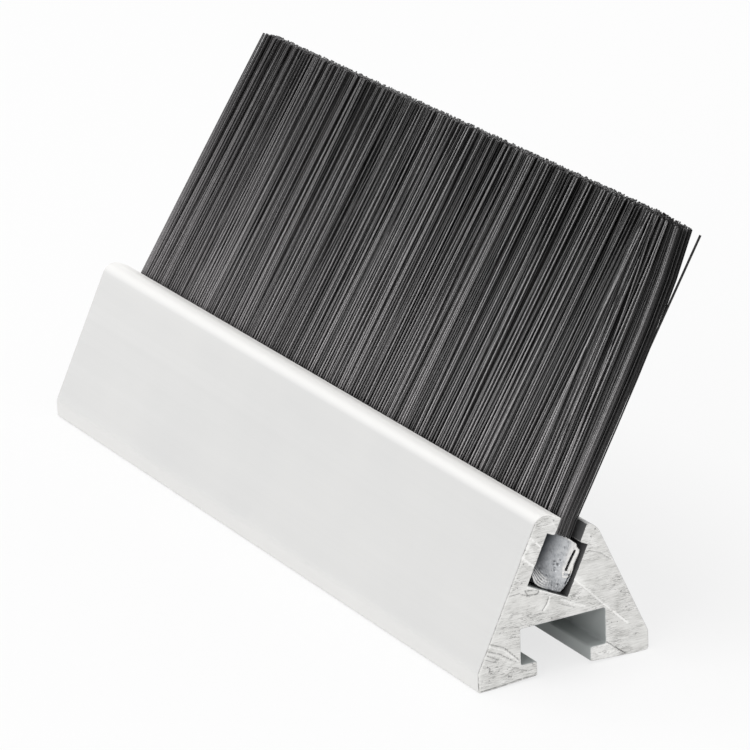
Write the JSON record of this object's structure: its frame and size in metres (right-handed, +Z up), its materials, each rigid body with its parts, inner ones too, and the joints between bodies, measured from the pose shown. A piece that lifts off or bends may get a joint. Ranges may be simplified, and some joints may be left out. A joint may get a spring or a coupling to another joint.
{
  "type": "brush seal strip",
  "caption": "Short strip brush in an A-shaped extruded aluminium holder with a tilted pocket and a T-slot base, used as a safety or sealing brush.",
  "frame": {"origin": "centre of the bounding box in X and Y, on the plane of the feet", "axes": "+X along the strip towards the pinched end of the brush channel, +Z up from the feet, and the brush leans towards +Y"},
  "size_m": [0.1, 0.0286, 0.0456],
  "materials": {
    "holder_extrusion": "satin anodised, with a sawn end",
    "brush_channel": "galvanised",
    "core_wire": "drawn wire",
    "bristles": "black nylon filament"
  },
  "bodies": {
    "root": {"holder_extrusion": "holder_extrusion", "brush_channel": "brush_channel", "core_wire": "core_wire", "bristles": "bristles"}
  },
  "joints": []
}
